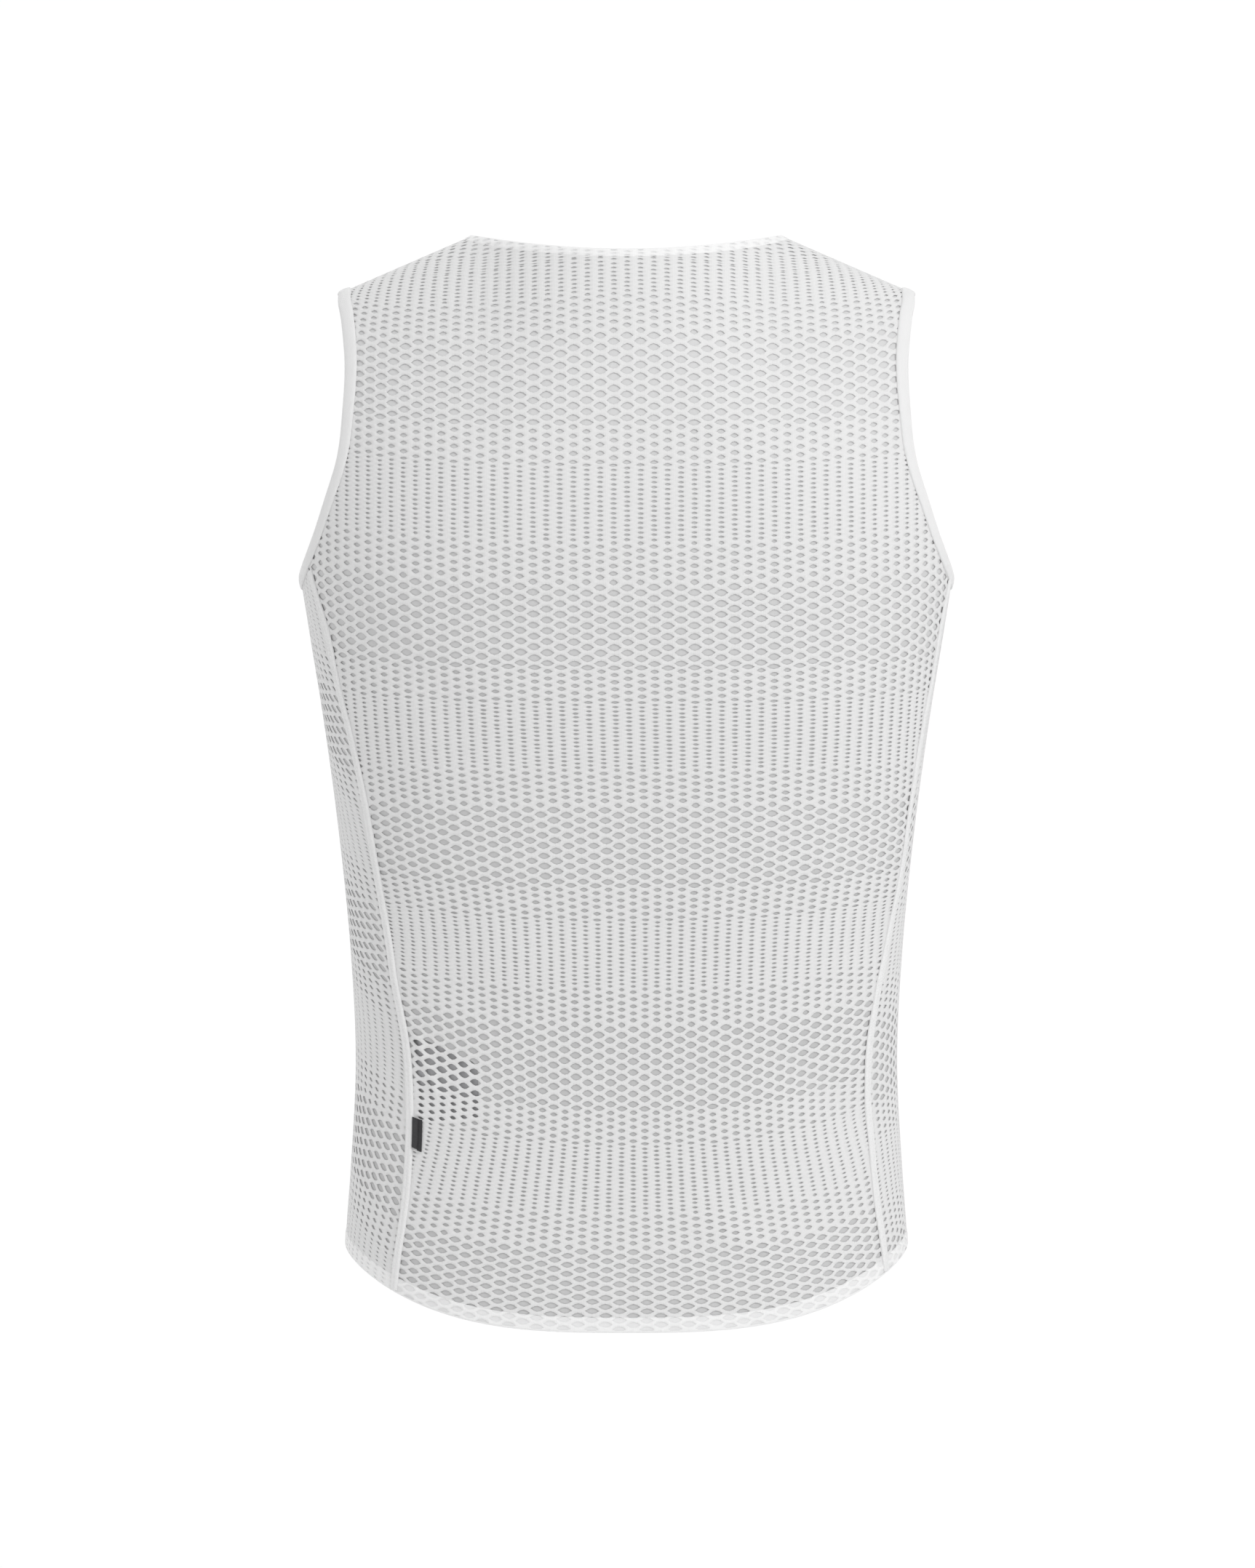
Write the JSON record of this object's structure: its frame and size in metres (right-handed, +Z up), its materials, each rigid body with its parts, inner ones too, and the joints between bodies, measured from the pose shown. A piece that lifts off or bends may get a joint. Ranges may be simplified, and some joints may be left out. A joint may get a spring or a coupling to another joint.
{
  "type": "sleeveless base layer",
  "caption": "Close-fitting sleeveless sports base layer in banded open-mesh knit, filled out as worn, with bound armholes, a low round neck and a dropped back hem.",
  "frame": {"origin": "between the shoulders at the height of the neck points, where the wearer holds the garment up", "axes": "+X the wearer's right, +Y the wearer's front, +Z up"},
  "size_m": [0.3749, 0.246, 0.6164],
  "materials": {
    "mesh_knit": "white banded open-mesh warp knit, matt",
    "tape_knit": "white close elastic knit tape, matt",
    "seam_thread": "white flatlock stitching over the seam, soft sheen",
    "black_tape": "plain black woven tape",
    "grey_satin": "plain dark grey satin tape"
  },
  "bodies": {
    "root": {"back_panel": "mesh_knit", "front_panel": "mesh_knit", "neck_band": "mesh_knit", "hem_band": "mesh_knit", "armhole_binding_left": "tape_knit", "armhole_binding_right": "tape_knit", "side_seam_left": "seam_thread", "side_seam_right": "seam_thread", "shoulder_seam_left": "seam_thread", "shoulder_seam_right": "seam_thread", "tab_label": "black_tape", "care_label": "grey_satin"}
  },
  "joints": []
}
